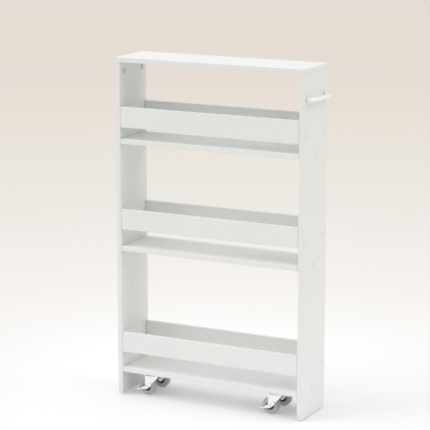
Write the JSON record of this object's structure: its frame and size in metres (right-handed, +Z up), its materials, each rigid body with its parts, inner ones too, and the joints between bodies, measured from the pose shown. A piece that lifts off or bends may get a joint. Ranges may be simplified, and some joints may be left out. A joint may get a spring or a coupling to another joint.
{
  "type": "rolling pantry cart",
  "caption": "Narrow white tiered pantry cart with a low rail front and back of each shelf, a bowed side pull handle and small swivel casters, the front ones with brake pedals.",
  "frame": {"origin": "on the floor under the middle of the cart's bounding box, handle included", "axes": "+X to the viewer's right along the cart's width, towards the side that carries the handle; +Y from the front, where the braked casters are, to the back; +Z up"},
  "size_m": [0.5041, 0.127, 0.8128],
  "materials": {
    "white_board": "smooth white faced board, satin",
    "handle_white": "white gloss enamel",
    "cover_white": "thin matt white cover",
    "screw_steel": "bright zinc plate",
    "cam_zinc": "die-cast zinc, dull",
    "dowel_wood": "unfinished beech",
    "caster_steel": "bright zinc plate",
    "ball_steel": "polished",
    "wheel_grey": "smooth light grey tread",
    "hub_black": "smooth black"
  },
  "bodies": {
    "cart": {"top_board": "white_board", "left_side_panel": "white_board", "right_side_panel": "white_board", "upper_shelf": "white_board", "middle_shelf": "white_board", "lower_shelf": "white_board", "upper_front_rail": "white_board", "upper_back_rail": "white_board", "middle_front_rail": "white_board", "middle_back_rail": "white_board", "lower_front_rail": "white_board", "lower_back_rail": "white_board", "pull_handle": "handle_white", "screw_covers": "cover_white", "handle_screws": "screw_steel", "shelf_screws": "screw_steel", "rail_screws": "screw_steel", "caster_plate_screws": "screw_steel", "cam_bolts": "screw_steel", "cam_locks": "cam_zinc", "shelf_dowels": "dowel_wood", "rail_dowels": "dowel_wood", "top_dowels": "dowel_wood", "front_left_plate": "caster_steel", "front_left_king_pin": "caster_steel", "front_right_plate": "caster_steel", "front_right_king_pin": "caster_steel", "rear_left_plate": "caster_steel", "rear_left_king_pin": "caster_steel", "rear_right_plate": "caster_steel", "rear_right_king_pin": "caster_steel"},
    "front_left_swivel": {"front_left_race_balls": "ball_steel", "front_left_fork": "caster_steel", "front_left_axle": "caster_steel"},
    "front_left_wheel": {"front_left_wheel_tyre": "wheel_grey", "front_left_wheel_hub": "hub_black"},
    "front_left_brake": {"front_left_brake_pedal": "caster_steel"},
    "front_right_swivel": {"front_right_race_balls": "ball_steel", "front_right_fork": "caster_steel", "front_right_axle": "caster_steel"},
    "front_right_wheel": {"front_right_wheel_tyre": "wheel_grey", "front_right_wheel_hub": "hub_black"},
    "front_right_brake": {"front_right_brake_pedal": "caster_steel"},
    "rear_left_swivel": {"rear_left_race_balls": "ball_steel", "rear_left_fork": "caster_steel", "rear_left_axle": "caster_steel"},
    "rear_left_wheel": {"rear_left_wheel_tyre": "wheel_grey", "rear_left_wheel_hub": "hub_black"},
    "rear_right_swivel": {"rear_right_race_balls": "ball_steel", "rear_right_fork": "caster_steel", "rear_right_axle": "caster_steel"},
    "rear_right_wheel": {"rear_right_wheel_tyre": "wheel_grey", "rear_right_wheel_hub": "hub_black"}
  },
  "joints": [
    {"name": "front_left_swivel_turn", "type": "hinge", "parent": "cart", "child": "front_left_swivel", "pos_m": [-0.17315, -0.0315, 0.0485], "axis": [0, 0, 1], "continuous": true},
    {"name": "front_left_wheel_spin", "type": "hinge", "parent": "front_left_swivel", "child": "front_left_wheel", "pos_m": [-0.18615, -0.0315, 0.02], "axis": [0, 1, 0], "continuous": true},
    {"name": "front_left_brake_lift", "type": "hinge", "parent": "front_left_swivel", "child": "front_left_brake", "pos_m": [-0.18615, -0.0315, 0.02], "axis": [0, 1, 0], "range_deg": [0, 20]},
    {"name": "front_right_swivel_turn", "type": "hinge", "parent": "cart", "child": "front_right_swivel", "pos_m": [0.15345, -0.0315, 0.0485], "axis": [0, 0, 1], "continuous": true},
    {"name": "front_right_wheel_spin", "type": "hinge", "parent": "front_right_swivel", "child": "front_right_wheel", "pos_m": [0.14045, -0.0315, 0.02], "axis": [0, 1, 0], "continuous": true},
    {"name": "front_right_brake_lift", "type": "hinge", "parent": "front_right_swivel", "child": "front_right_brake", "pos_m": [0.14045, -0.0315, 0.02], "axis": [0, 1, 0], "range_deg": [0, 20]},
    {"name": "rear_left_swivel_turn", "type": "hinge", "parent": "cart", "child": "rear_left_swivel", "pos_m": [-0.17315, 0.0365, 0.0485], "axis": [0, 0, 1], "continuous": true},
    {"name": "rear_left_wheel_spin", "type": "hinge", "parent": "rear_left_swivel", "child": "rear_left_wheel", "pos_m": [-0.18615, 0.0365, 0.02], "axis": [0, 1, 0], "continuous": true},
    {"name": "rear_right_swivel_turn", "type": "hinge", "parent": "cart", "child": "rear_right_swivel", "pos_m": [0.15345, 0.0365, 0.0485], "axis": [0, 0, 1], "continuous": true},
    {"name": "rear_right_wheel_spin", "type": "hinge", "parent": "rear_right_swivel", "child": "rear_right_wheel", "pos_m": [0.14045, 0.0365, 0.02], "axis": [0, 1, 0], "continuous": true}
  ]
}
